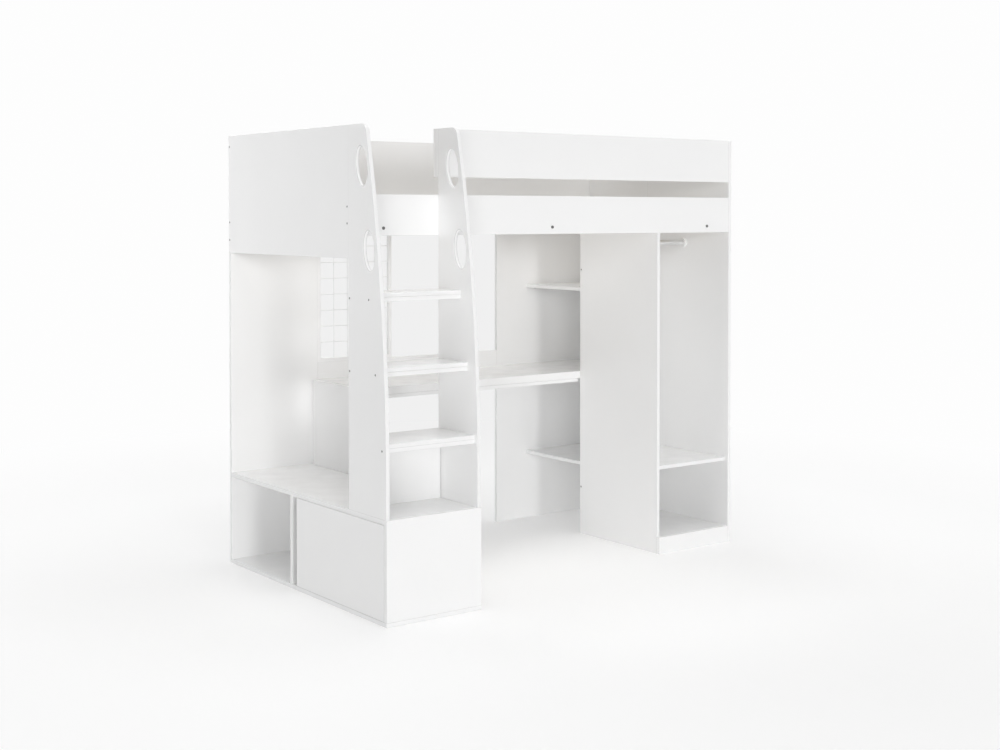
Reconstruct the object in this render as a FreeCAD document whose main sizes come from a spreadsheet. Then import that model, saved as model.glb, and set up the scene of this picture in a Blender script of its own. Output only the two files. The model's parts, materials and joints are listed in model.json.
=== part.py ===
"""High sleeper of white board: a raised bed with step base, desk, wardrobe and bookcase.

Millimetres. Places are first written from the left face, the front of the step base and the
floor, and every piece is then moved so that the origin lies on the floor under the middle of
the whole: +X runs along the bed to the wardrobe end, +Y to the back, +Z up.
"""
import FreeCAD, Part
import Sketcher
import math
import os
import re

SIZES = {
    # Whole bed
    "overall_length": 1986,
    "overall_depth": 1238,
    "overall_height": 1800,
    "board_thk": 16,
    "edge_round": 0.8,
    "step_projection": 260,
    # Rails and end panel
    "side_rail_height": 154,
    "guard_gap": 69,
    "guard_rail_height": 185,
    "guard_cleat_length": 90,
    "end_panel_height": 490,
    "right_back_width": 579,
    # Slats and the ledges that carry them
    "ledge_raise": 13,
    "ledge_height": 30,
    "ledge_depth": 25,
    "slat_width": 68,
    "slat_thk": 12,
    "slat_end_gap": 30,
    "slat_clear": 3,
    # Step base
    "base_width": 416,
    "base_height": 383,
    "base_top_thk": 18,
    "cupboard_length": 679,
    # Cupboard door, its pivots and its catch
    "door_hinge_gap": 3,
    "door_finger_gap": 36,
    "door_edge_gap": 1.2,
    "pin_dia": 6,
    "pin_inset": 12,
    "pin_seat": 10,
    "bush_dia": 10,
    "bush_length": 12,
    "bush_flange_dia": 14,
    "running_clear": 0.05,
    "part_clear": 0.3,
    "catch_length": 46,
    "catch_depth": 14,
    "catch_height": 14,
    "catch_overlap": 18,
    "catch_plate_thk": 1,
    "catch_plate_width": 16,
    "catch_plate_drop": 2,
    # Ladder sides
    "ladder_setback": 4,
    "ladder_straight": 157,
    "ladder_top_depth": 119,
    "ladder_corner_round": 35,
    "ladder_back_round": 6,
    "handhole_length": 148,
    "handhole_width": 76,
    "handhole_margin": 20,
    "handhole_edge_round": 4,
    "handhole_upper_drop": 153,
    "handhole_lower_drop": 460,
    # Treads
    "deck_step_short": 8,
    "tread_front_first": 22,
    "tread_step_back": 44,
    "lip_height": 16,
    "lip_depth": 16,
    "joint_groove": 1.5,
    "joint_groove_depth": 4,
    "riser_end_gap": 2.5,
    # Desk
    "desk_height": 750,
    "desk_thk": 32,
    "desk_support_inset": 23,
    "cable_gap": 26,
    "desk_batten_thk": 16,
    "desk_batten_width": 60,
    "desk_batten_gap": 14,
    "upstand_height": 74,
    "upstand_drop": 60,
    # Wire grid over the desk
    "grid_pitch": 70,
    "grid_bar_width": 16,
    "grid_wire_dia": 3,
    "grid_weld_sink": 0.4,
    # Wardrobe and bookcase
    "wardrobe_inner_width": 400,
    "wardrobe_depth": 520,
    "wardrobe_shelf_height": 380,
    "wardrobe_shelf_setback": 2,
    "plinth_height": 72,
    "hanger_rail_dia": 25,
    "hanger_rail_wall": 1.5,
    "hanger_rail_drop": 50,
    "hanger_rail_setback": 270,
    "socket_dia": 42,
    "socket_depth": 12,
    "socket_floor": 3,
    "socket_clear": 0.2,
    "upper_shelf_drop": 258,
    "lower_shelf_height": 328,
    "shelf_pin_dia": 5,
    "shelf_pin_seat": 8,
    "shelf_pin_reach": 10,
    "shelf_pin_inset": 50,
    "shelf_pin_clear": 0.1,
    # Screws and bolts
    "screw_dia": 4,
    "screw_length": 44,
    "screw_head_dia": 8,
    "screw_head_height": 3,
    "screw_head_sink": 0.2,
    "screw_socket": 2,
    "screw_clear": 0.1,
    "screw_edge": 46,
    "screw_notch_rise": 54,
    "back_screw_low": 300,
    "back_screw_drop": 292,
    "wardrobe_screw_low": 216,
    "wardrobe_screw_drop": 187,
    "bolt_dia": 6,
    "bolt_head_dia": 12,
    "bolt_head_height": 3,
    "bolt_socket": 2.2,
    "bolt_end_inset": 152,
    "bolt_middle": 960,
    "nut_size": 10,
    "nut_height": 5,
    "bolt_overhang": 2,
}

# Counts, and shares of the length along which the rear ledge is screwed
SLAT_COUNT = 14
GRID_COLUMNS = 5
TREADS = ("lower", "middle", "upper")
LEDGE_SCREW_SHARES = (0.06, 0.28, 0.5, 0.72, 0.94)
HEXAGON_SIDE_COUNT = 6

# Faces and heights that several pieces share
RIGHT_INNER = "(overall_length - board_thk)"
BACK_INNER = "(overall_depth - board_thk)"
BED_FRONT = "step_projection"
RAIL_INNER = "(step_projection + board_thk)"
RAIL_MIDDLE = "(step_projection + board_thk / 2)"
BACK_MIDDLE = "(overall_depth - board_thk / 2)"
RAIL_ZONE = "(side_rail_height + guard_gap + guard_rail_height)"
RAIL_BOTTOM = f"(overall_height - {RAIL_ZONE})"
GUARD_BOTTOM = "(overall_height - guard_rail_height)"
END_BOTTOM = "(overall_height - end_panel_height)"
INNER_LENGTH = "(overall_length - 2 * board_thk)"
LEDGE_BOTTOM = f"({RAIL_BOTTOM} + ledge_raise)"
LEDGE_MIDDLE = f"({LEDGE_BOTTOM} + ledge_height / 2)"
SLAT_BOTTOM = f"({LEDGE_BOTTOM} + ledge_height)"
TREAD_RISE = f"(({SLAT_BOTTOM} + slat_thk + deck_step_short - base_height) / {len(TREADS) + 1})"
UPPER_SHELF_TOP = f"({RAIL_BOTTOM} - upper_shelf_drop)"
BASE_CLEAR = "(base_height - base_top_thk - board_thk)"
BASE_CEILING = "(base_height - base_top_thk)"
DIVIDER_FRONT = "(board_thk + cupboard_length)"
DOOR_FRONT = "(board_thk + door_hinge_gap)"
DOOR_LENGTH = "(cupboard_length - door_hinge_gap - door_finger_gap)"
DOOR_BOTTOM = "(board_thk + door_edge_gap)"
DOOR_TOP = f"({BASE_CEILING} - door_edge_gap)"
PIVOT = ("board_thk / 2", f"({DOOR_FRONT} + pin_inset)")
LADDER_INNER = "(base_width - 2 * board_thk)"
WARDROBE_LEFT = f"({RIGHT_INNER} - wardrobe_inner_width - board_thk)"
WARDROBE_INNER = f"({RIGHT_INNER} - wardrobe_inner_width)"
WARDROBE_BACK = f"({RAIL_INNER} + wardrobe_depth)"
HANGER_Y = f"({RAIL_INNER} + hanger_rail_setback)"
HANGER_Z = f"({RAIL_BOTTOM} - hanger_rail_drop)"
DESK_UNDER = "(desk_height - desk_thk)"
SUPPORT_LEFT = "(base_width - desk_support_inset - board_thk)"
SUPPORT_RIGHT = "(base_width - desk_support_inset)"
RIGHT_BACK_LEFT = f"({RIGHT_INNER} - right_back_width)"
GRID_INNER_LEFT = "(base_width + grid_bar_width)"
GRID_BOTTOM = "(desk_height + upstand_height)"
GRID_HEIGHT = f"({RAIL_BOTTOM} - {GRID_BOTTOM})"
GRID_INNER_HEIGHT = f"({GRID_HEIGHT} - 2 * grid_bar_width)"
GRID_INNER_WIDTH = f"({GRID_COLUMNS} * grid_pitch)"

TURNS = {
    "+x": FreeCAD.Rotation(FreeCAD.Vector(0, 1, 0), 90),
    "-x": FreeCAD.Rotation(FreeCAD.Vector(0, 1, 0), -90),
    "+y": FreeCAD.Rotation(FreeCAD.Vector(1, 0, 0), -90),
    "-y": FreeCAD.Rotation(FreeCAD.Vector(1, 0, 0), 90),
    "+z": FreeCAD.Rotation(),
    "-z": FreeCAD.Rotation(FreeCAD.Vector(1, 0, 0), 180),
}

doc = FreeCAD.newDocument("high_sleeper")
pieces = []
corners = {}


def make_sheet():
    """The driving dimensions, one named cell each."""
    sheet = doc.addObject("Spreadsheet::Sheet", "dims")
    for row, (word, value) in enumerate(SIZES.items(), start=1):
        sheet.set(f"A{row}", str(value))
        sheet.setAlias(f"A{row}", word)
    doc.recompute()


def bound(text):
    """An expression in which each named size refers to its cell."""
    return re.sub(r"[a-z_]+", lambda word: "dims." + word[0] if word[0] in SIZES else word[0], text)


def bind(item, **sizes):
    for name, text in sizes.items():
        item.setExpression(name, bound(text))


def move(item, place):
    for letter, text in zip("xyz", place):
        item.setExpression(f"Placement.Base.{letter}", bound(text))


def place_in_row(item, place):
    """Moves a piece from its place by the left front floor corner into the row's frame."""
    x, y, z = place
    move(item, (f"{x} - overall_length / 2", f"{y} - overall_depth / 2", z))


def new_body(label, corner):
    body = doc.addObject("PartDesign::Body", label)
    body.Label = label
    corners[label] = corner
    place_in_row(body, corner)
    return body


def feature(body, kind, turn="+z", place=("0", "0", "0"), **sizes):
    """A primitive of a body, in the body's own frame."""
    item = body.newObject("PartDesign::" + kind, f"{body.Name}_{kind}")
    bind(item, **sizes)
    item.Placement.Rotation = TURNS[turn]
    move(item, place)
    return item


def round_edges(body, base, edges, radius):
    """Rounds the named edges, or all of them where none are named."""
    doc.recompute()
    rounding = body.newObject("PartDesign::Fillet", f"{body.Name}_rounding")
    rounding.Base = (base, edges or ["Edge1"])
    rounding.UseAllEdges = not edges
    bind(rounding, Radius=radius)
    return rounding


def board(label, corner, size):
    """A straight board with eased edges, from its left front lower corner."""
    body = new_body(label, corner)
    length, width, height = size
    blank = feature(body, "AdditiveBox", Length=length, Width=width, Height=height)
    round_edges(body, blank, None, "edge_round")
    pieces.append(body)
    return body


def groove_joint(body, size):
    """A fine groove along a strip's upper front edge, under the board that lies on it."""
    length, _, height = size
    feature(body, "SubtractiveBox", place=("0", "0", f"{height} - joint_groove"), Length=length,
            Width="joint_groove_depth", Height="joint_groove")


def drill(label, start, turn, diameter, depth):
    """A round hole in a body, whose start is given like the corners of the boards."""
    body = doc.getObject(label)
    place = [f"({at}) - ({corner})" for at, corner in zip(start, corners[label])]
    feature(body, "SubtractiveCylinder", turn, place, Radius=f"({diameter}) / 2", Height=depth)


def group(label, pattern, spots):
    """Copies of one pattern body, as separate solids of one piece."""
    links = []
    for place, turn in spots:
        link = doc.addObject("App::Link", f"{label}_copy")
        link.LinkedObject = pattern
        link.Placement.Rotation = TURNS[turn]
        place_in_row(link, place)
        links.append(link)
    whole = doc.addObject("Part::Compound", label)
    whole.Label = label
    whole.Links = links
    pieces.append(whole)


def bed():
    """End panels, back panels, rails and the ledges that carry the slats."""
    depth = f"overall_depth - {BED_FRONT}"
    front_depth = f"{WARDROBE_BACK} - {BED_FRONT}"
    rear_depth = f"overall_depth - {WARDROBE_BACK}"
    board("left_end_panel", ("0", BED_FRONT, END_BOTTOM), ("board_thk", depth, "end_panel_height"))
    board("right_end_front_panel", (RIGHT_INNER, BED_FRONT, "0"),
          ("board_thk", front_depth, "overall_height"))
    board("right_end_rear_panel", (RIGHT_INNER, WARDROBE_BACK, "0"),
          ("board_thk", rear_depth, "overall_height"))
    left_back = board("left_back_panel", ("0", BACK_INNER, "0"), ("base_width", "board_thk", RAIL_BOTTOM))
    feature(left_back, "SubtractiveBox", place=("0", "0", END_BOTTOM), Length="board_thk",
            Width="board_thk", Height=f"{RAIL_BOTTOM} - {END_BOTTOM}")
    board("right_back_panel", (RIGHT_BACK_LEFT, BACK_INNER, "0"),
          ("right_back_width", "board_thk", RAIL_BOTTOM))
    board("bed_back_panel", ("board_thk", BACK_INNER, RAIL_BOTTOM), (INNER_LENGTH, "board_thk", RAIL_ZONE))
    board("side_rail", ("board_thk", BED_FRONT, RAIL_BOTTOM),
          (INNER_LENGTH, "board_thk", "side_rail_height"))
    guard_left = "(base_width - board_thk)"
    board("guard_rail", (guard_left, BED_FRONT, GUARD_BOTTOM),
          (f"{RIGHT_INNER} - {guard_left}", "board_thk", "guard_rail_height"))
    board("guard_rail_cleat", (guard_left, RAIL_INNER, GUARD_BOTTOM),
          ("guard_cleat_length", "board_thk", "guard_rail_height"))
    ledge = (INNER_LENGTH, "ledge_depth", "ledge_height")
    board("front_slat_ledge", ("board_thk", RAIL_INNER, LEDGE_BOTTOM), ledge)
    board("rear_slat_ledge", ("board_thk", f"{BACK_INNER} - ledge_depth", LEDGE_BOTTOM), ledge)


def slats():
    pattern = new_body("slat", ("0", "0", "0"))
    length = f"{BACK_INNER} - {RAIL_INNER} - 2 * slat_clear"
    blank = feature(pattern, "AdditiveBox", Length="slat_width", Width=length, Height="slat_thk")
    round_edges(pattern, blank, None, "edge_round")
    spread = f"({INNER_LENGTH} - 2 * slat_end_gap - slat_width) / {SLAT_COUNT - 1}"
    spots = []
    for index in range(SLAT_COUNT):
        x = f"board_thk + slat_end_gap + {index} * {spread}"
        spots.append(((x, f"{RAIL_INNER} + slat_clear", SLAT_BOTTOM), "+z"))
    group("bed_slats", pattern, spots)


def step_base():
    """Low storage box under the ladder, open at its left face behind the divider."""
    inner_depth = f"{BACK_INNER} - board_thk"
    board("base_bottom", ("0", "0", "0"), ("base_width", BACK_INNER, "board_thk"))
    board("base_front", ("0", "0", "board_thk"), ("base_width", "board_thk", "base_height - board_thk"))
    board("base_right_side", ("base_width - board_thk", "board_thk", "board_thk"),
          ("board_thk", inner_depth, BASE_CLEAR))
    board("base_divider", ("0", DIVIDER_FRONT, "board_thk"),
          ("base_width - board_thk", "board_thk", BASE_CLEAR))
    board("base_top", ("0", "board_thk", BASE_CEILING), ("base_width", inner_depth, "base_top_thk"))


def cupboard_door():
    """Inset door that turns on two pins by its front edge, in flanged bushes."""
    board("cupboard_door", ("0", DOOR_FRONT, DOOR_BOTTOM),
          ("board_thk", DOOR_LENGTH, f"{DOOR_TOP} - {DOOR_BOTTOM}"))
    bottom = (*PIVOT, DOOR_BOTTOM)
    top = (*PIVOT, DOOR_TOP)
    for start, turn in ((bottom, "+z"), (top, "-z")):
        drill("cupboard_door", start, turn, "bush_dia + 2 * running_clear", "bush_length + part_clear")
    flange = "(door_edge_gap - part_clear)"
    bush = new_body("door_bush", ("0", "0", "0"))
    feature(bush, "AdditiveCylinder", Radius="bush_dia / 2", Height="bush_length")
    feature(bush, "AdditiveCylinder", "-z", Radius="bush_flange_dia / 2", Height=flange)
    feature(bush, "SubtractiveCylinder", place=("0", "0", f"0 - {flange}"),
            Radius="pin_dia / 2 + running_clear", Height=f"{flange} + bush_length")
    group("door_bushes", bush, [(bottom, "+z"), (top, "-z")])
    door_pins()
    door_catch()


def door_pins():
    """One pin in the base's bottom board and one in its top board."""
    pin = new_body("door_pin", ("0", "0", "0"))
    length = "pin_seat + door_edge_gap + bush_length"
    feature(pin, "AdditiveCylinder", Radius="pin_dia / 2", Height=length)
    low = (*PIVOT, "board_thk - pin_seat")
    high = (*PIVOT, f"{BASE_CEILING} + pin_seat")
    group("door_pins", pin, [(low, "+z"), (high, "-z")])
    hole = "pin_dia + 2 * running_clear"
    drill("base_bottom", (*PIVOT, "board_thk"), "-z", hole, "pin_seat")
    drill("base_top", (*PIVOT, BASE_CEILING), "+z", hole, "pin_seat")


def door_catch():
    """Magnet block under the base's top board, and the steel plate that meets it on the door."""
    start = f"({DOOR_FRONT} + {DOOR_LENGTH} - catch_overlap)"
    face = "(board_thk + catch_plate_thk + part_clear)"
    board("magnetic_catch", (face, start, f"{BASE_CEILING} - catch_height"),
          ("catch_depth", "catch_length", "catch_height"))
    plate_bottom = f"{DOOR_TOP} - catch_plate_drop - catch_plate_width"
    plate = new_body("catch_plate", ("board_thk", start, plate_bottom))
    feature(plate, "AdditiveBox", Length="catch_plate_thk", Width="catch_plate_width",
            Height="catch_plate_width")
    pieces.append(plate)


LADDER_TOP = "(overall_height - base_height)"
LADDER_LEAN = "(step_projection - ladder_top_depth - ladder_setback)"
CURVE_RISE = f"({LADDER_TOP} - ladder_straight)"
CURVE_RADIUS = f"(({CURVE_RISE} ^ 2 + {LADDER_LEAN} ^ 2) / (2 * {LADDER_LEAN}))"


def side_plane(body):
    return [plane for plane in body.Origin.OriginFeatures if plane.Role == "YZ_Plane"]


def sketch_on_side(body, name):
    sketch = body.newObject("Sketcher::SketchObject", name)
    sketch.AttachmentSupport = side_plane(body)
    sketch.MapMode = "FlatFace"
    return sketch


def constrain(sketch, text, *rule):
    """A driving dimension of a sketch, bound to the sheet."""
    index = sketch.addConstraint(Sketcher.Constraint(*rule))
    sketch.setExpression(f"Constraints[{index}]", bound(text))


def value(text):
    """What a size expression comes to now, for the first shape of a sketch."""
    return float(doc.getObject("dims").evalExpression(bound(text)))


def ladder_outline(body):
    """Straight back and foot, a front edge that runs up and then leans back in one arc."""
    sketch = sketch_on_side(body, f"{body.Name}_outline")
    front = value("ladder_setback")
    bend = value("ladder_straight")
    top = value(LADDER_TOP)
    back = value("step_projection")
    lean = value("step_projection - ladder_top_depth")
    radius = value(CURVE_RADIUS)
    foot_front = FreeCAD.Vector(front, 0, 0)
    bend_point = FreeCAD.Vector(front, bend, 0)
    top_front = FreeCAD.Vector(lean, top, 0)
    top_back = FreeCAD.Vector(back, top, 0)
    foot_back = FreeCAD.Vector(back, 0, 0)
    centre = FreeCAD.Vector(front + radius, bend, 0)
    start = math.atan2(top - bend, lean - centre.x)
    circle = Part.Circle(centre, FreeCAD.Vector(0, 0, 1), radius)
    straight = sketch.addGeometry(Part.LineSegment(foot_front, bend_point))
    curve = sketch.addGeometry(Part.ArcOfCircle(circle, start, math.pi))
    head = sketch.addGeometry(Part.LineSegment(top_front, top_back))
    rear = sketch.addGeometry(Part.LineSegment(top_back, foot_back))
    foot = sketch.addGeometry(Part.LineSegment(foot_back, foot_front))
    for rule in (("Tangent", straight, 2, curve, 2), ("Coincident", curve, 1, head, 1),
                 ("Coincident", head, 2, rear, 1), ("Coincident", rear, 2, foot, 1),
                 ("Coincident", foot, 2, straight, 1), ("Vertical", straight), ("Vertical", rear),
                 ("Horizontal", head), ("Horizontal", foot), ("PointOnObject", foot, 1, -1)):
        sketch.addConstraint(Sketcher.Constraint(*rule))
    constrain(sketch, "ladder_setback", "DistanceX", -1, 1, straight, 1, front)
    constrain(sketch, "ladder_straight", "DistanceY", straight, 1, straight, 2, bend)
    constrain(sketch, "step_projection", "DistanceX", -1, 1, rear, 2, back)
    constrain(sketch, "ladder_top_depth", "DistanceX", head, 1, head, 2, back - lean)
    constrain(sketch, LADDER_TOP, "DistanceY", rear, 2, rear, 1, top)
    return sketch


def hand_hole(body, drop):
    """An upright oval that follows the front edge at a steady margin and leans with it."""
    sketch = sketch_on_side(body, f"{body.Name}_{drop}")
    rise = f"({LADDER_TOP} - {drop} - ladder_straight)"
    middle_z = f"({LADDER_TOP} - {drop})"
    edge_y = f"(ladder_setback + {CURVE_RADIUS} - sqrt({CURVE_RADIUS} ^ 2 - {rise} ^ 2))"
    middle_y = f"({edge_y} + handhole_margin + handhole_width / 2)"
    tilt = f"90 - asin({rise} / {CURVE_RADIUS}) / 1deg"
    centre = FreeCAD.Vector(value(middle_y), value(middle_z), 0)
    angle = math.radians(value(tilt))
    along = FreeCAD.Vector(math.cos(angle), math.sin(angle), 0)
    across = FreeCAD.Vector(-math.sin(angle), math.cos(angle), 0)
    long_end = centre + along * value("handhole_length / 2")
    short_end = centre + across * value("handhole_width / 2")
    oval = sketch.addGeometry(Part.Ellipse(long_end, short_end, centre))
    sketch.exposeInternalGeometry(oval)
    long_axis = oval + 1
    short_axis = oval + 2
    constrain(sketch, middle_y, "DistanceX", -1, 1, oval, 3, centre.x)
    constrain(sketch, middle_z, "DistanceY", -1, 1, oval, 3, centre.y)
    constrain(sketch, "handhole_length", "Distance", long_axis, value("handhole_length"))
    constrain(sketch, "handhole_width", "Distance", short_axis, value("handhole_width"))
    constrain(sketch, f"({tilt}) * 1deg", "Angle", long_axis, angle)
    return sketch


def corner_edge(shape, y, z):
    """The edge along the board's thickness that passes through a point of the outline."""
    for index, edge in enumerate(shape.Edges, start=1):
        ends = [vertex.Point for vertex in edge.Vertexes]
        reach = max(abs(end.y - y) + abs(end.z - z) for end in ends)
        if len(ends) == 2 and reach < value("edge_round"):
            return f"Edge{index}"
    raise ValueError("no edge at this corner of the ladder side")


def oval_edges(shape):
    """The closed edges where the hand holes meet the board's faces."""
    return [f"Edge{index}" for index, edge in enumerate(shape.Edges, start=1) if len(edge.Vertexes) == 1]


def ladder_side(label, x):
    body = new_body(label, (x, "0", "base_height"))
    outline = ladder_outline(body)
    doc.recompute()
    pad = body.newObject("PartDesign::Pad", f"{label}_pad")
    pad.Profile = outline
    bind(pad, Length="board_thk")
    doc.recompute()
    top = value(LADDER_TOP)
    front_corner = corner_edge(pad.Shape, value("step_projection - ladder_top_depth"), top)
    last = round_edges(body, pad, [front_corner], "ladder_corner_round")
    doc.recompute()
    back_corner = corner_edge(last.Shape, value("step_projection"), top)
    round_edges(body, last, [back_corner], "ladder_back_round")
    for drop in ("handhole_upper_drop", "handhole_lower_drop"):
        oval = hand_hole(body, drop)
        doc.recompute()
        whole = body.Shape.Volume
        pocket = body.newObject("PartDesign::Pocket", f"{label}_{drop}_cut")
        pocket.Profile = oval
        pocket.Type = "ThroughAll"
        pocket.Midplane = True
        doc.recompute()
        if body.Shape.Volume >= whole:
            raise ValueError("a hand hole cut nothing")
    eased = round_edges(body, body.Tip, oval_edges(body.Shape), "handhole_edge_round")
    round_edges(body, eased, None, "edge_round")
    pieces.append(body)


def ladder():
    ladder_side("ladder_left_side", "0")
    ladder_side("ladder_right_side", "(base_width - board_thk)")
    rear = "(step_projection - board_thk)"
    board("ladder_riser", ("board_thk", rear, "base_height"),
          (f"{LADDER_INNER} - riser_end_gap", "board_thk", f"{TREAD_RISE} - board_thk"))
    lip = (LADDER_INNER, "lip_depth", "lip_height")
    for index, name in enumerate(TREADS):
        front = f"(tread_front_first + {index} * tread_step_back)"
        under = f"(base_height + {index + 1} * {TREAD_RISE} - board_thk)"
        board(f"{name}_tread", ("board_thk", front, under),
              (LADDER_INNER, f"step_projection - {front}", "board_thk"))
        lip_bottom = f"({under} - lip_height)"
        front_lip = board(f"{name}_tread_front_lip", ("board_thk", front, lip_bottom), lip)
        lip_middle = f"({lip_bottom} + lip_height / 2)"
        ladder_screws(f"{front} + lip_depth / 2", lip_middle, f"{name}_tread_front_lip")
        if index > 0:
            groove_joint(front_lip, lip)
            board(f"{name}_tread_rear_lip", ("board_thk", "step_projection - lip_depth", lip_bottom), lip)
            ladder_screws("step_projection - lip_depth / 2", lip_middle, f"{name}_tread_rear_lip")


def desk():
    board("desk_left_support", (SUPPORT_LEFT, WARDROBE_BACK, "base_height"),
          ("board_thk", f"{BACK_INNER} - {WARDROBE_BACK} - cable_gap", "desk_height - base_height"))
    board("desk_top", (SUPPORT_RIGHT, WARDROBE_BACK, DESK_UNDER),
          (f"{RIGHT_INNER} - {SUPPORT_RIGHT}", f"{BACK_INNER} - {WARDROBE_BACK}", "desk_thk"))
    batten_length = f"{WARDROBE_LEFT} - desk_batten_gap - {SUPPORT_RIGHT}"
    batten = (batten_length, "desk_batten_width", "desk_batten_thk")
    batten_corner = (SUPPORT_RIGHT, WARDROBE_BACK, f"{DESK_UNDER} - desk_batten_thk")
    groove_joint(board("desk_front_batten", batten_corner, batten), batten)
    board("desk_back_rail", ("base_width", BACK_INNER, "desk_height - upstand_drop"),
          (f"{RIGHT_BACK_LEFT} - base_width", "board_thk", "upstand_drop + upstand_height"))


def wire_grid():
    """Framed grid of welded wires, in the plane of the back panels and on top of the desk's back rail."""
    stile = ("grid_bar_width", "board_thk", GRID_HEIGHT)
    board("grid_left_stile", ("base_width", BACK_INNER, GRID_BOTTOM), stile)
    board("grid_right_stile", (f"{GRID_INNER_LEFT} + {GRID_INNER_WIDTH}", BACK_INNER, GRID_BOTTOM), stile)
    bar = (GRID_INNER_WIDTH, "board_thk", "grid_bar_width")
    board("grid_bottom_bar", (GRID_INNER_LEFT, BACK_INNER, GRID_BOTTOM), bar)
    board("grid_top_bar", (GRID_INNER_LEFT, BACK_INNER, f"{RAIL_BOTTOM} - grid_bar_width"), bar)
    rear = BACK_MIDDLE
    front = f"({rear} - grid_wire_dia + grid_weld_sink)"
    low = f"({GRID_BOTTOM} + grid_bar_width)"
    wires = []
    for index in range(1, 1 + int(value(f"{GRID_INNER_HEIGHT} / grid_pitch"))):
        start = (GRID_INNER_LEFT, front, f"{low} + {index} * grid_pitch")
        wires.append(wire(start, "+x", GRID_INNER_WIDTH))
    for index in range(1, GRID_COLUMNS):
        start = (f"{GRID_INNER_LEFT} + {index} * grid_pitch", rear, low)
        wires.append(wire(start, "+z", GRID_INNER_HEIGHT))
    grid = doc.addObject("Part::MultiFuse", "wire_grid")
    grid.Label = "wire_grid"
    grid.Shapes = wires
    pieces.append(grid)


def wire(start, turn, length):
    rod = doc.addObject("Part::Cylinder", "grid_wire")
    bind(rod, Radius="grid_wire_dia / 2", Height=length)
    rod.Placement.Rotation = TURNS[turn]
    place_in_row(rod, start)
    return rod


def wardrobe():
    height = LEDGE_BOTTOM
    inner_depth = "wardrobe_depth - board_thk"
    board("wardrobe_left_panel", (WARDROBE_LEFT, RAIL_INNER, "0"), ("board_thk", "wardrobe_depth", height))
    board("wardrobe_back_panel", (WARDROBE_INNER, f"{WARDROBE_BACK} - board_thk", "0"),
          ("wardrobe_inner_width", "board_thk", height))
    board("wardrobe_plinth", (WARDROBE_LEFT, BED_FRONT, "0"),
          ("wardrobe_inner_width + board_thk", "board_thk", "plinth_height"))
    board("wardrobe_bottom", (WARDROBE_INNER, RAIL_INNER, "plinth_height - board_thk"),
          ("wardrobe_inner_width", inner_depth, "board_thk"))
    shelf_front = f"({RAIL_INNER} + wardrobe_shelf_setback)"
    board("wardrobe_shelf", (WARDROBE_INNER, shelf_front, "wardrobe_shelf_height - board_thk"),
          ("wardrobe_inner_width", f"{inner_depth} - wardrobe_shelf_setback", "board_thk"))
    rail = new_body("hanging_rail", (f"{WARDROBE_INNER} + socket_floor", HANGER_Y, HANGER_Z))
    length = "wardrobe_inner_width - 2 * socket_floor"
    feature(rail, "AdditiveCylinder", "+x", Radius="hanger_rail_dia / 2", Height=length)
    bore = "hanger_rail_dia / 2 - hanger_rail_wall"
    feature(rail, "SubtractiveCylinder", "+x", Radius=bore, Height=length)
    pieces.append(rail)
    rail_socket("hanging_rail_left_socket", WARDROBE_INNER, "+x", "socket_floor")
    rail_socket("hanging_rail_right_socket", RIGHT_INNER, "-x", "0 - socket_floor")


def rail_socket(label, x, turn, floor):
    """A round cup on a panel that holds one end of the hanging rail."""
    cup = new_body(label, (x, HANGER_Y, HANGER_Z))
    blank = feature(cup, "AdditiveCylinder", turn, Radius="socket_dia / 2", Height="socket_depth")
    round_edges(cup, blank, None, "edge_round")
    feature(cup, "SubtractiveCylinder", turn, (floor, "0", "0"),
            Radius="hanger_rail_dia / 2 + socket_clear", Height="socket_depth")
    pieces.append(cup)


def bookcase():
    """Two shelves behind the wardrobe, open towards the desk."""
    size = ("wardrobe_inner_width", f"{BACK_INNER} - {WARDROBE_BACK}", "board_thk")
    for name, height in (("upper", UPPER_SHELF_TOP), ("lower", "lower_shelf_height")):
        board(f"bookcase_{name}_shelf", (WARDROBE_INNER, WARDROBE_BACK, f"{height} - board_thk"), size)


def shelf_pins():
    """Pins in the upright boards, under both ends of each loose shelf."""
    pin = new_body("shelf_pin", ("0", "0", "0"))
    feature(pin, "AdditiveCylinder", Radius="shelf_pin_dia / 2", Height="shelf_pin_seat + shelf_pin_reach")
    hole = "shelf_pin_dia + 2 * running_clear"
    spots = []

    def seat(label, x, y, z, into, out):
        """A pin that stands out of one board's face."""
        drill(label, (x, y, z), into, hole, "shelf_pin_seat")
        letter = "xyz".index(into[1])
        start = [x, y, z]
        start[letter] = f"{start[letter]} {into[0]} shelf_pin_seat"
        spots.append((tuple(start), out))

    under = "(board_thk + shelf_pin_dia / 2 + shelf_pin_clear)"
    near = f"({WARDROBE_INNER} + shelf_pin_inset)"
    far = f"({RIGHT_INNER} - shelf_pin_inset)"
    for shelf in (UPPER_SHELF_TOP, "lower_shelf_height"):
        z = f"({shelf} - {under})"
        for x in (near, far):
            seat("wardrobe_back_panel", x, WARDROBE_BACK, z, "-y", "+y")
            seat("right_back_panel", x, BACK_INNER, z, "+y", "-y")
    z = f"(wardrobe_shelf_height - {under})"
    for y in (f"({RAIL_INNER} + shelf_pin_inset)", f"({WARDROBE_BACK} - board_thk - shelf_pin_inset)"):
        seat("wardrobe_left_panel", WARDROBE_INNER, y, z, "-x", "+x")
        seat("right_end_front_panel", RIGHT_INNER, y, z, "+x", "-x")
    group("shelf_pins", pin, spots)


LEDGE_SCREW_LENGTH = "(ledge_depth + board_thk / 2)"
screw_spots = {"end_panel_screws": [], "wardrobe_screws": [], "ladder_screws": [], "rear_ledge_screws": []}


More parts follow.
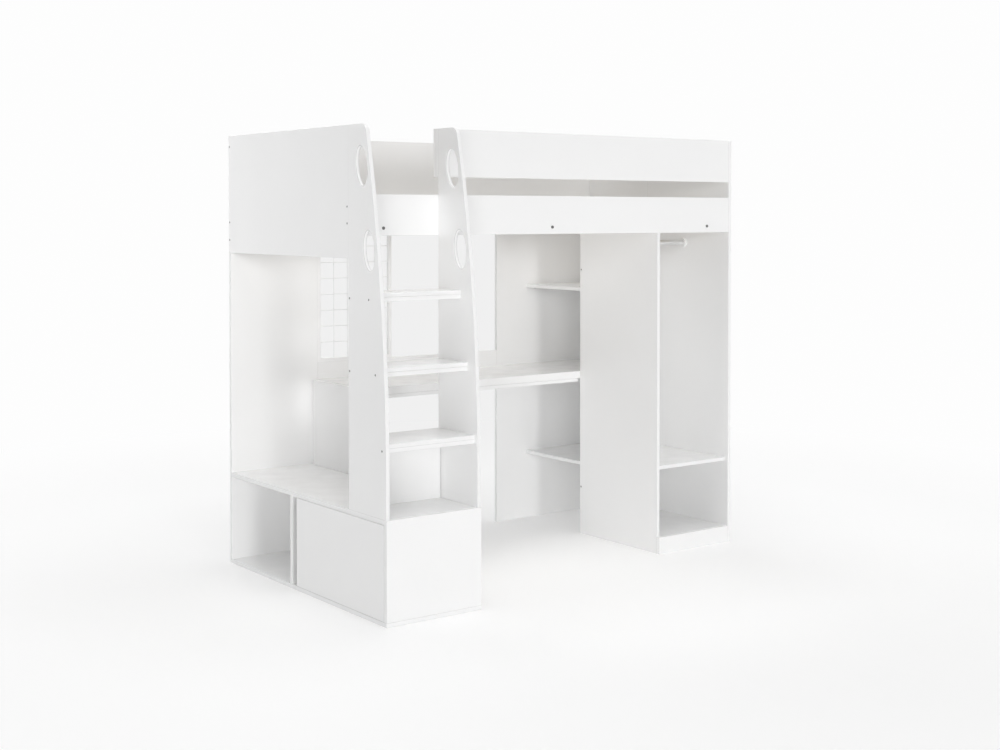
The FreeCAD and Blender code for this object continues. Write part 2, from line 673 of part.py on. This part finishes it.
def screw_in(screws, start, turn, length, *labels):
    """A sunk screw through the first board into the second, with its holes in both."""
    screw_spots[screws].append((start, turn))
    head_depth = "screw_head_sink + screw_head_height"
    drill(labels[0], start, turn, "screw_head_dia + 2 * screw_clear", head_depth)
    for label in labels:
        drill(label, start, turn, "screw_dia + 2 * screw_clear", f"{length} + screw_clear")


def ladder_screws(y, z, lip):
    for x, turn, side in (("0", "+x", "ladder_left_side"), ("base_width", "-x", "ladder_right_side")):
        screw_in("ladder_screws", (x, y, z), turn, "screw_length", side, lip)


def panel_screws():
    """Screws through the end panels into the rails and the back panels."""
    left = ("0", "+x", "left_end_panel")
    right_front = ("overall_length", "-x", "right_end_front_panel")
    right_rear = ("overall_length", "-x", "right_end_rear_panel")
    low = f"({RAIL_BOTTOM} + screw_edge)"
    side_high = f"({RAIL_BOTTOM} + side_rail_height - screw_edge)"
    guard_low = f"({GUARD_BOTTOM} + screw_edge)"
    top = "(overall_height - screw_edge)"
    notch = f"({END_BOTTOM} + screw_notch_rise)"
    plan = [
        (left, RAIL_MIDDLE, low, "side_rail"),
        (left, RAIL_MIDDLE, side_high, "side_rail"),
        (left, BACK_MIDDLE, low, "bed_back_panel"),
        (left, BACK_MIDDLE, top, "bed_back_panel"),
        (left, BACK_MIDDLE, notch, "left_back_panel"),
        (right_front, RAIL_MIDDLE, low, "side_rail"),
        (right_front, RAIL_MIDDLE, side_high, "side_rail"),
        (right_front, RAIL_MIDDLE, guard_low, "guard_rail"),
        (right_front, RAIL_MIDDLE, top, "guard_rail"),
        (right_rear, BACK_MIDDLE, low, "bed_back_panel"),
        (right_rear, BACK_MIDDLE, top, "bed_back_panel"),
        (right_rear, BACK_MIDDLE, "back_screw_low", "right_back_panel"),
        (right_rear, BACK_MIDDLE, f"({RAIL_BOTTOM} - back_screw_drop)", "right_back_panel"),
    ]
    for (x, turn, panel), y, z, other in plan:
        screw_in("end_panel_screws", (x, y, z), turn, "screw_length", panel, other)


def wardrobe_screws():
    """Screws through both sides of the wardrobe into the edges of its back panel."""
    y = f"({WARDROBE_BACK} - board_thk / 2)"
    left = (WARDROBE_LEFT, "+x", "wardrobe_left_panel")
    right = ("overall_length", "-x", "right_end_front_panel")
    for x, turn, side in (left, right):
        for z in ("wardrobe_screw_low", f"({LEDGE_BOTTOM} - wardrobe_screw_drop)"):
            screw_in("wardrobe_screws", (x, y, z), turn, "screw_length", side, "wardrobe_back_panel")


def ledge_screws():
    """Screws through the rear ledge into the bed's back panel."""
    for share in LEDGE_SCREW_SHARES:
        start = (f"overall_length * {share}", f"({BACK_INNER} - ledge_depth)", LEDGE_MIDDLE)
        screw_in("rear_ledge_screws", start, "+y", LEDGE_SCREW_LENGTH, "rear_slat_ledge", "bed_back_panel")


def rail_bolts():
    """Bolts through the side rail and its ledge, with nuts inside."""
    bolt = new_body("bolt", ("0", "0", "0"))
    grip = "(board_thk + ledge_depth)"
    feature(bolt, "AdditiveCylinder", Radius="bolt_dia / 2", Height=f"{grip} + nut_height + bolt_overhang")
    feature(bolt, "AdditiveCylinder", "-z", Radius="bolt_head_dia / 2", Height="bolt_head_height")
    socket = feature(bolt, "SubtractivePrism", place=("0", "0", "0 - bolt_head_height"),
                     Circumradius="bolt_socket", Height="bolt_socket")
    socket.Polygon = HEXAGON_SIDE_COUNT
    nut = new_body("nut", ("0", "0", "0"))
    blank = feature(nut, "AdditivePrism", Circumradius="nut_size / sqrt(3)", Height="nut_height")
    blank.Polygon = HEXAGON_SIDE_COUNT
    feature(nut, "SubtractiveCylinder", Radius="bolt_dia / 2 + running_clear", Height="nut_height")
    bolts = []
    nuts = []
    for x in ("bolt_end_inset", "bolt_middle", "(overall_length - bolt_end_inset)"):
        start = (x, BED_FRONT, LEDGE_MIDDLE)
        bolts.append((start, "+y"))
        nuts.append(((x, f"{RAIL_INNER} + ledge_depth", LEDGE_MIDDLE), "+y"))
        for label in ("side_rail", "front_slat_ledge"):
            drill(label, start, "+y", "bolt_dia + 2 * screw_clear", grip)
    group("rail_bolts", bolt, bolts)
    group("rail_nuts", nut, nuts)


def screw_pattern(name, length):
    """A screw with a flat head and a hexagon socket, sunk a little below the board's face."""
    screw = new_body(name, ("0", "0", "0"))
    face = ("0", "0", "screw_head_sink")
    feature(screw, "AdditiveCylinder", place=face, Radius="screw_head_dia / 2", Height="screw_head_height")
    reach = f"{length} - screw_head_sink"
    feature(screw, "AdditiveCylinder", place=face, Radius="screw_dia / 2", Height=reach)
    socket = feature(screw, "SubtractivePrism", place=face, Circumradius="screw_socket",
                     Height="screw_socket")
    socket.Polygon = HEXAGON_SIDE_COUNT
    return screw


def screws():
    """Long screws through two boards, and short ones in the rear ledge."""
    long_screw = screw_pattern("long_screw", "screw_length")
    short_screw = screw_pattern("short_screw", LEDGE_SCREW_LENGTH)
    for label, spots in screw_spots.items():
        group(label, short_screw if label == "rear_ledge_screws" else long_screw, spots)


def export():
    """Writes every piece, once the whole document is known to be sound."""
    doc.recompute()
    for item in doc.Objects:
        if "Invalid" in item.State or "Error" in item.State:
            raise ValueError(f"{item.Label} failed: {item.State}")
    os.makedirs("parts", exist_ok=True)
    for piece in pieces:
        if piece.Shape.isNull() or not piece.Shape.isValid() or not piece.Shape.Solids:
            raise ValueError(f"{piece.Label} has no valid solid")
    for piece in pieces:
        piece.Shape.exportStep(f"parts/{piece.Label}.step")
    print(len(pieces), "pieces")


make_sheet()
bed()
slats()
step_base()
cupboard_door()
ladder()
desk()
wire_grid()
wardrobe()
bookcase()
shelf_pins()
panel_screws()
wardrobe_screws()
ledge_screws()
rail_bolts()
screws()
export()
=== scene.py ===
"""Looks of the white high sleeper: laminated boards, steel fasteners, a chrome rail, a coated grid."""
import json
import math

import bpy
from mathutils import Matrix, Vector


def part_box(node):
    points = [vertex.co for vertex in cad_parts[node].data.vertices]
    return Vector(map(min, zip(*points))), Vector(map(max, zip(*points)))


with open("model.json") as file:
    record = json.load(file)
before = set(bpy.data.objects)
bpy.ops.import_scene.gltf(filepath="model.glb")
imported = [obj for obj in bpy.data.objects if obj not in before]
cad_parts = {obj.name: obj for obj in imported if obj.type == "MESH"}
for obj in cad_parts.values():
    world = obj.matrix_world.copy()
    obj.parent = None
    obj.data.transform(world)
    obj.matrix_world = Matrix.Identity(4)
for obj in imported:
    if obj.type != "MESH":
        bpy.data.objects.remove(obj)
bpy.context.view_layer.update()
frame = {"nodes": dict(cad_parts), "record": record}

AXES = "xyz"
UP = (0, 0, 1)
RIGHT_ANGLE = math.pi / 2
RISING = (0.0, 1.0)
FALLING = (1.0, 0.0)

# The photograph's camera, found from the corners of the boards
IMAGE_WIDTH = 1000
IMAGE_HEIGHT = 750
FOCAL_PIXELS = 1464.5
HORIZON_CENTRE_PIXEL = 250.6
CAMERA_PLACE = (-3.7564, -5.0093, 1.4690)
CAMERA_YAW = math.radians(36.639)
CAMERA_PITCH_DOWN = math.radians(1.393)
SENSOR_WIDTH = 36.0

# Light on the object: lamps far away, by azimuth (0 is the front, -90 the left), elevation and width
AMBIENT_WHITE = (1, 1, 1, 1)
AMBIENT_STRENGTH = 0.02
LAMPS = {
    "front_key": {"azimuth": -12, "elevation": 5, "width": 9, "strength": 0.55},
    "front_high": {"azimuth": -15, "elevation": 35, "width": 50, "strength": 0.18},
    "side_fill": {"azimuth": -38, "elevation": 3, "width": 30, "strength": 1.02},
    "overhead": {"azimuth": 0, "elevation": 85, "width": 70, "strength": 2.18},
    "back_light": {"azimuth": 180, "elevation": 8, "width": 60, "strength": 1.23},
    "right_light": {"azimuth": 100, "elevation": 8, "width": 60, "strength": 0.42},
}
DIFFUSE_BOUNCES = 12
ALL_BOUNCES = 16

# The white that the camera sees round the object
STUDIO_WHITE = (0.985, 0.985, 0.985, 1)

# Painted shade on the studio's far wall, behind the open back, standing in for the object's shadow
# there: bearing and height seen from the object
PAINTED_SHADE_GREY = (0.871, 0.871, 0.871, 1)
PAINTED_SHADE_BEARING = math.radians(33.0)
PAINTED_SHADE_ACROSS = (math.cos(PAINTED_SHADE_BEARING), -math.sin(PAINTED_SHADE_BEARING), 0)
PAINTED_SHADE_ALONG = (math.sin(PAINTED_SHADE_BEARING), math.cos(PAINTED_SHADE_BEARING), 0)
PAINTED_SHADE_SIDE_SPAN = (math.radians(4.2), math.radians(7.2))
PAINTED_SHADE_TOP_SPAN = (math.radians(0.2), math.radians(3.2))

# Floor: a disc that takes the object's soft shadow near it and is plain studio white further out, but
# for a patch of painted shadow behind the object
FLOOR_RADIUS = 8.0
FLOOR_DROP = 0.0005
FLOOR_CORNERS = 96
FLOOR_PAINT = (0.94, 0.94, 0.94, 1)
FLOOR_LIFT = 0.085
FLOOR_GLOW = 0.14
FLOOR_FADE_SPAN = (1.5, 4.2)

# Where the painted shade reaches down on to the floor as painted shadow behind the object, in metres
# along and across its bearing
PAINTED_SHADOW_FLOOR_MIDDLE = -0.30
PAINTED_SHADOW_FLOOR_SIDE_SPAN = (0.55, 1.0)
PAINTED_SHADOW_FLOOR_START_SPAN = (0.4, 1.2)
PAINTED_SHADOW_FLOOR_END_SPAN = (6.2, FLOOR_RADIUS)

# Noise: the middle of its values, which is spread over a finish, and how busy its grains are
NOISE_SPAN = (0.3, 0.7)
PLAIN_GRAIN = 1.0
SOFT_GRAIN = 2.0
FINE_GRAIN = 3.0
BUSY_GRAIN = 4.0
STAINED_GRAIN = 5.0

# Finishes: colours are linear, grain sizes and bump depths in metres
FULL_METAL = 1.0
BOARD_BRIGHT = (0.910, 0.910, 0.909, 1)
BOARD_DIM = (0.894, 0.894, 0.893, 1)
BOARD_EDGE = (0.890, 0.890, 0.890, 1)
# The dark seam on the rounded edges is partly the banding's seam and partly painted shade for the
# joints between boards
BOARD_SEAM_AND_SHADE = (0.420, 0.418, 0.412, 1)
BOARD_CLOUD_SIZE = 0.45
BOARD_SMUDGE_SIZE = 0.09
BOARD_PEARL_SIZE = 0.0009
BOARD_PEARL_DEPTH = 0.00003
BOARD_ROUGHNESS = (0.20, 0.27)
BOARD_EDGE_ROUGHNESS = (0.08, 0.0)
COAT_BRIGHT = (0.905, 0.905, 0.906, 1)
COAT_DIM = (0.885, 0.885, 0.887, 1)
WIRE_BRIGHT = (0.820, 0.821, 0.823, 1)
WIRE_DIM = (0.790, 0.791, 0.794, 1)
COAT_PEEL_SIZE = 0.0016
COAT_PEEL_DEPTH = 0.00006
COAT_ROUGHNESS = (0.36, 0.5)
PLASTIC_WHITE = (0.850, 0.850, 0.846, 1)
PLASTIC_DIM = (0.820, 0.820, 0.815, 1)
PLASTIC_MOTTLE_SIZE = 0.004
PLASTIC_GRAIN_SIZE = 0.0006
PLASTIC_GRAIN_DEPTH = 0.00002
PLASTIC_ROUGHNESS = (0.34, 0.46)
STEEL_BRIGHT = (0.240, 0.238, 0.234, 1)
STEEL_DARK = (0.110, 0.109, 0.108, 1)
STEEL_STAIN_SIZE = 0.004
STEEL_SCRATCH_SIZE = 0.0006
STEEL_SCRATCH_DEPTH = 0.00002
STEEL_ROUGHNESS = (0.5, 0.34)
CHROME_BRIGHT = (0.900, 0.902, 0.906, 1)
CHROME_DIM = (0.800, 0.803, 0.810, 1)
CHROME_LINE_SIZE = (0.25, 0.0012, 0.0012)
CHROME_LINE_DEPTH = 0.00001
CHROME_ROUGHNESS = (0.22, 0.34)
BIRCH_PALE = (0.690, 0.640, 0.560, 1)
BIRCH_RING = (0.580, 0.515, 0.425, 1)
BIRCH_RING_SIZE = (0.012, 0.55, 0.012)
BIRCH_RING_SPAN = (0.42, 0.62)
BIRCH_FIBRE_SIZE = (0.0009, 0.045, 0.0009)
BIRCH_FIBRE_DEPTH = 0.00012
BIRCH_ROUGHNESS = (0.5, 0.68)

# Boards, by how squarely the surface faces the thin axis: 0 on the edges and 1 on the faces
BANDING_SPAN = (0.2, 0.6)
# Where the dark seam, banding's seam and painted shade, lies on the rounded edges
SEAM_SHADE_RISE_SPAN = (0.05, 0.5)
SEAM_SHADE_RISE_REACH = (0.0, 0.6)
SEAM_SHADE_FALL_SPAN = (0.5, 0.99)
PEARL_SPAN = (0.8, 1.0)
PEARL_SHARE = (0.2, 1.0)


def add_camera():
    data = bpy.data.cameras.new("photo_camera")
    data.sensor_width = SENSOR_WIDTH
    data.lens = FOCAL_PIXELS / IMAGE_WIDTH * SENSOR_WIDTH
    data.shift_y = (HORIZON_CENTRE_PIXEL - IMAGE_HEIGHT / 2) / IMAGE_WIDTH
    camera = bpy.data.objects.new("photo_camera", data)
    camera.location = CAMERA_PLACE
    camera.rotation_euler = (RIGHT_ANGLE - CAMERA_PITCH_DOWN, 0, -CAMERA_YAW)
    bpy.context.scene.collection.objects.link(camera)
    bpy.context.scene.camera = camera


def add_lamp(name, azimuth, elevation, width, strength):
    data = bpy.data.lights.new(name, "SUN")
    data.angle = math.radians(width)
    data.energy = strength
    lamp = bpy.data.objects.new(name, data)
    lamp.rotation_euler = (RIGHT_ANGLE - math.radians(elevation), 0, math.radians(azimuth))
    bpy.context.scene.collection.objects.link(lamp)


def put(tree, kind, settings=None, **inputs):
    """A shader node; an input is either a socket to link or a plain value."""
    node = tree.nodes.new(kind)
    for name, setting in (settings or {}).items():
        setattr(node, name, setting)
    for name, value in inputs.items():
        feed(tree, node.inputs[name.replace("_", " ")], value)
    return node


def feed(tree, socket, value):
    if isinstance(value, bpy.types.NodeSocket):
        tree.links.new(value, socket)
    else:
        socket.default_value = value


def math_node(tree, operation, first, second=0.0):
    node = put(tree, "ShaderNodeMath", {"operation": operation})
    feed(tree, node.inputs[0], first)
    feed(tree, node.inputs[1], second)
    return node.outputs[0]


def ramp(tree, source, span, reach=RISING, smooth=False):
    """The source's values over a span, spread over a reach."""
    kind = "SMOOTHSTEP" if smooth else "LINEAR"
    node = put(tree, "ShaderNodeMapRange", {"interpolation_type": kind}, Value=source,
               From_Min=span[0], From_Max=span[1], To_Min=reach[0], To_Max=reach[1])
    return node.outputs[0]


def mix_colors(tree, factor, first, second):
    node = put(tree, "ShaderNodeMix", {"data_type": "RGBA"})
    sockets = {socket.identifier: socket for socket in node.inputs}
    feed(tree, sockets["Factor_Float"], factor)
    feed(tree, sockets["A_Color"], first)
    feed(tree, sockets["B_Color"], second)
    return next(socket for socket in node.outputs if socket.identifier == "Result_Color")


def mix_shaders(tree, factor, first, second):
    node = put(tree, "ShaderNodeMixShader", Fac=factor)
    tree.links.new(first.outputs[0], node.inputs[1])
    tree.links.new(second.outputs[0], node.inputs[2])
    return node.outputs[0]


def seen_directly(tree):
    """1 for rays of the camera and for those that metal or glass sends back to it, and 0 for light."""
    path = put(tree, "ShaderNodeLightPath").outputs
    mirrored = math_node(tree, "MAXIMUM", path["Is Glossy Ray"], path["Is Transmission Ray"])
    return math_node(tree, "MAXIMUM", path["Is Camera Ray"], mirrored)


def measure(tree, vector, axis):
    """How far a vector reaches along an axis."""
    node = put(tree, "ShaderNodeVectorMath", {"operation": "DOT_PRODUCT"})
    feed(tree, node.inputs[0], vector)
    feed(tree, node.inputs[1], axis)
    return node.outputs["Value"]


def wall_painted_shade(tree):
    """1 in the direction of the painted shade on the far wall and 0 away from it."""
    direction = put(tree, "ShaderNodeTexCoord").outputs["Generated"]
    across = measure(tree, direction, PAINTED_SHADE_ACROSS)
    turn = math_node(tree, "ARCTAN2", across, measure(tree, direction, PAINTED_SHADE_ALONG))
    off = math_node(tree, "ABSOLUTE", turn)
    side = ramp(tree, off, PAINTED_SHADE_SIDE_SPAN, FALLING, smooth=True)
    height = math_node(tree, "ARCSINE", measure(tree, direction, UP))
    top = ramp(tree, height, PAINTED_SHADE_TOP_SPAN, FALLING, smooth=True)
    return math_node(tree, "MULTIPLY", side, top)


def floor_painted_shadow(tree, place, radius):
    """1 where the painted shadow lies on the floor behind the object and 0 away from it and at the
    floor's rim.
    """
    across = measure(tree, place, PAINTED_SHADE_ACROSS)
    off = math_node(tree, "ABSOLUTE", math_node(tree, "SUBTRACT", across, PAINTED_SHADOW_FLOOR_MIDDLE))
    side = ramp(tree, off, PAINTED_SHADOW_FLOOR_SIDE_SPAN, FALLING, smooth=True)
    along = measure(tree, place, PAINTED_SHADE_ALONG)
    start = ramp(tree, along, PAINTED_SHADOW_FLOOR_START_SPAN, smooth=True)
    end = ramp(tree, radius, PAINTED_SHADOW_FLOOR_END_SPAN, FALLING, smooth=True)
    return math_node(tree, "MULTIPLY", math_node(tree, "MULTIPLY", side, start), end)


def add_world():
    """Even white light, and the studio white behind the object with a patch of painted shade on it."""
    world = bpy.data.worlds.new("studio")
    bpy.context.scene.world = world
    world.use_nodes = True
    tree = world.node_tree
    ambient = tree.nodes["Background"]
    ambient.inputs["Color"].default_value = AMBIENT_WHITE
    ambient.inputs["Strength"].default_value = AMBIENT_STRENGTH
    # Painted shade: a grey patch on the studio white, standing in for the object's shadow behind its
    # open back
    shade = mix_colors(tree, wall_painted_shade(tree), STUDIO_WHITE, PAINTED_SHADE_GREY)
    shown = put(tree, "ShaderNodeBackground", Color=shade)
    surface = mix_shaders(tree, seen_directly(tree), ambient, shown)
    tree.links.new(surface, tree.nodes["World Output"].inputs["Surface"])


def near_floor(tree, shown):
    """White paint that shows the object's shadow, with a faint glow that lifts it."""
    paint = put(tree, "ShaderNodeBsdfDiffuse", Color=FLOOR_PAINT)
    strength = ramp(tree, shown, RISING, (FLOOR_GLOW, FLOOR_LIFT))
    glow = put(tree, "ShaderNodeEmission", Color=STUDIO_WHITE, Strength=strength)
    both = put(tree, "ShaderNodeAddShader")
    tree.links.new(paint.outputs[0], both.inputs[0])
    tree.links.new(glow.outputs[0], both.inputs[1])
    return both


def floor_material():
    """Paint near the object that turns to studio white far out, with a patch of painted shadow behind
    the object.
    """
    material = bpy.data.materials.new("floor_white")
    material.use_nodes = True
    tree = material.node_tree
    tree.nodes.clear()
    shown = seen_directly(tree)
    place = put(tree, "ShaderNodeTexCoord").outputs["Object"]
    length = put(tree, "ShaderNodeVectorMath", {"operation": "LENGTH"}, Vector=place)
    radius = length.outputs["Value"]
    # Painted shadow: a grey patch on the far floor behind the object
    shade = mix_colors(tree, floor_painted_shadow(tree, place, radius), STUDIO_WHITE, PAINTED_SHADE_GREY)
    far = put(tree, "ShaderNodeEmission", Color=shade)
    outward = ramp(tree, radius, FLOOR_FADE_SPAN, smooth=True)
    factor = math_node(tree, "MULTIPLY", outward, shown)
    surface = mix_shaders(tree, factor, near_floor(tree, shown), far)
    output = put(tree, "ShaderNodeOutputMaterial")
    tree.links.new(surface, output.inputs["Surface"])
    return material


def add_floor():
    mesh = bpy.data.meshes.new("floor")
    turns = [math.tau * index / FLOOR_CORNERS for index in range(FLOOR_CORNERS)]
    rim = [(FLOOR_RADIUS * math.cos(turn), FLOOR_RADIUS * math.sin(turn), -FLOOR_DROP)
           for turn in turns]
    mesh.from_pydata(rim, [], [tuple(range(FLOOR_CORNERS))])
    mesh.materials.append(floor_material())
    floor = bpy.data.objects.new("floor", mesh)
    bpy.context.scene.collection.objects.link(floor)


def new_material(name):
    material = bpy.data.materials.new(name)
    material.use_nodes = True
    tree = material.node_tree
    return material, tree, tree.nodes["Principled BSDF"]


def noise(tree, size, grain=SOFT_GRAIN):
    """Cloudy values about 0 to 1 with grains as large as size, one length or one along each axis."""
    lengths = size if isinstance(size, tuple) else (size, size, size)
    place = put(tree, "ShaderNodeTexCoord").outputs["Object"]
    scale = tuple(1 / length for length in lengths)
    scaled = put(tree, "ShaderNodeMapping", Vector=place, Scale=scale).outputs[0]
    return put(tree, "ShaderNodeTexNoise", Vector=scaled, Scale=1.0, Detail=grain).outputs["Fac"]


def spread_noise(tree, size, grain=SOFT_GRAIN, reach=RISING):
    return ramp(tree, noise(tree, size, grain), NOISE_SPAN, reach)


def bumps(tree, shader, height, depth):
    node = put(tree, "ShaderNodeBump", Height=height, Distance=depth)
    feed(tree, shader.inputs["Normal"], node.outputs["Normal"])


def facing(tree, axis):
    """How squarely the surface faces one axis of its own piece, from 0 to 1."""
    normal = put(tree, "ShaderNodeTexCoord").outputs["Normal"]
    parts = put(tree, "ShaderNodeSeparateXYZ", Vector=normal)
    return math_node(tree, "ABSOLUTE", parts.outputs[axis])


def board_color(tree, broad):
    """Faintly clouded faces, plain banding on the edges and a fine dark seam between them: partly the
    banding's seam, partly painted shade for the joints between boards.
    """
    face = mix_colors(tree, spread_noise(tree, BOARD_CLOUD_SIZE), BOARD_DIM, BOARD_BRIGHT)
    banded = mix_colors(tree, ramp(tree, broad, BANDING_SPAN), BOARD_EDGE, face)
    rise = ramp(tree, broad, SEAM_SHADE_RISE_SPAN, SEAM_SHADE_RISE_REACH, smooth=True)
    fall = ramp(tree, broad, SEAM_SHADE_FALL_SPAN, FALLING, smooth=True)
    # Dark seam on every rounded edge: the banding's seam and painted shade in the joints
    return mix_colors(tree, math_node(tree, "MULTIPLY", rise, fall), banded, BOARD_SEAM_AND_SHADE)


def white_board(axis):
    """Melamine board, thin along one axis: pearl grain on its faces and smooth banding on its edges."""
    material, tree, shader = new_material(f"white_board_{AXES[axis]}")
    broad = facing(tree, axis)
    feed(tree, shader.inputs["Base Color"], board_color(tree, broad))
    smudge = spread_noise(tree, BOARD_SMUDGE_SIZE, BUSY_GRAIN, BOARD_ROUGHNESS)
    banding = ramp(tree, broad, BANDING_SPAN, BOARD_EDGE_ROUGHNESS)
    feed(tree, shader.inputs["Roughness"], math_node(tree, "ADD", smudge, banding))
    grain = noise(tree, BOARD_PEARL_SIZE, PLAIN_GRAIN)
    pearl = math_node(tree, "MULTIPLY", grain, ramp(tree, broad, PEARL_SPAN, PEARL_SHARE))
    bumps(tree, shader, pearl, BOARD_PEARL_DEPTH)
    return material


def powder_coat(name, dim, bright):
    """Powder coat of the grid's bars and wires, with the fine orange peel that such paint has."""
    material, tree, shader = new_material(name)
    tone = spread_noise(tree, BOARD_SMUDGE_SIZE)
    feed(tree, shader.inputs["Base Color"], mix_colors(tree, tone, dim, bright))
    roughness = spread_noise(tree, COAT_PEEL_SIZE, reach=COAT_ROUGHNESS)
    feed(tree, shader.inputs["Roughness"], roughness)
    bumps(tree, shader, noise(tree, COAT_PEEL_SIZE, PLAIN_GRAIN), COAT_PEEL_DEPTH)
    return material


def white_plastic():
    """Moulded plastic of the rail's sockets, the catch and the door's bushes."""
    material, tree, shader = new_material("white_plastic")
    tone = spread_noise(tree, PLASTIC_MOTTLE_SIZE)
    feed(tree, shader.inputs["Base Color"], mix_colors(tree, tone, PLASTIC_DIM, PLASTIC_WHITE))
    roughness = spread_noise(tree, PLASTIC_MOTTLE_SIZE, BUSY_GRAIN, PLASTIC_ROUGHNESS)
    feed(tree, shader.inputs["Roughness"], roughness)
    bumps(tree, shader, noise(tree, PLASTIC_GRAIN_SIZE, PLAIN_GRAIN), PLASTIC_GRAIN_DEPTH)
    return material


def dark_steel():
    """Burnished steel of screws, bolts and pins, stained unevenly by its oil finish."""
    material, tree, shader = new_material("burnished_steel")
    shader.inputs["Metallic"].default_value = FULL_METAL
    stain = spread_noise(tree, STEEL_STAIN_SIZE, STAINED_GRAIN)
    feed(tree, shader.inputs["Base Color"], mix_colors(tree, stain, STEEL_DARK, STEEL_BRIGHT))
    feed(tree, shader.inputs["Roughness"], ramp(tree, stain, RISING, STEEL_ROUGHNESS))
    bumps(tree, shader, noise(tree, STEEL_SCRATCH_SIZE, FINE_GRAIN), STEEL_SCRATCH_DEPTH)
    return material


def satin_chrome():
    """Hanging rail: plated tube with fine drawn lines along it."""
    material, tree, shader = new_material("satin_chrome")
    shader.inputs["Metallic"].default_value = FULL_METAL
    lines = noise(tree, CHROME_LINE_SIZE, FINE_GRAIN)
    feed(tree, shader.inputs["Base Color"], mix_colors(tree, lines, CHROME_DIM, CHROME_BRIGHT))
    feed(tree, shader.inputs["Roughness"], ramp(tree, lines, NOISE_SPAN, CHROME_ROUGHNESS))
    bumps(tree, shader, lines, CHROME_LINE_DEPTH)
    return material


def birch():
    """Planed birch slats: long pale growth rings and short fibres."""
    material, tree, shader = new_material("planed_birch")
    rings = ramp(tree, noise(tree, BIRCH_RING_SIZE, FINE_GRAIN), BIRCH_RING_SPAN)
    feed(tree, shader.inputs["Base Color"], mix_colors(tree, rings, BIRCH_PALE, BIRCH_RING))
    fibres = noise(tree, BIRCH_FIBRE_SIZE, FINE_GRAIN)
    feed(tree, shader.inputs["Roughness"], ramp(tree, fibres, NOISE_SPAN, BIRCH_ROUGHNESS))
    bumps(tree, shader, fibres, BIRCH_FIBRE_DEPTH)
    return material


def thin_axis(name):
    """The axis along which a board is thinnest."""
    low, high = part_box(name)
    spans = [high[axis] - low[axis] for axis in range(len(AXES))]
    return spans.index(min(spans))


def dress():
    """Give each piece the finish of its slot; boards get the one that fits their thin axis."""
    boards = [white_board(axis) for axis in range(len(AXES))]
    finishes = {
        "slat_wood": birch(),
        "white_metal": powder_coat("bar_coat", COAT_DIM, COAT_BRIGHT),
        "fastener_steel": dark_steel(),
        "rail_chrome": satin_chrome(),
        "white_plastic": white_plastic(),
    }
    own_finishes = {"wire_grid": powder_coat("wire_coat", WIRE_DIM, WIRE_BRIGHT)}
    for part in frame["record"]["subparts"]:
        name = part["node"]
        materials = frame["nodes"][name].data.materials
        materials.clear()
        finish = own_finishes.get(name) or finishes.get(part["material_slot"])
        materials.append(finish or boards[thin_axis(name)])


add_camera()
add_world()
add_floor()
for lamp_name, lamp in LAMPS.items():
    add_lamp(lamp_name, **lamp)
dress()

# White boards pass the light on many times
bpy.context.scene.cycles.diffuse_bounces = DIFFUSE_BOUNCES
bpy.context.scene.cycles.max_bounces = ALL_BOUNCES

bpy.context.scene.view_settings.view_transform = "Standard"
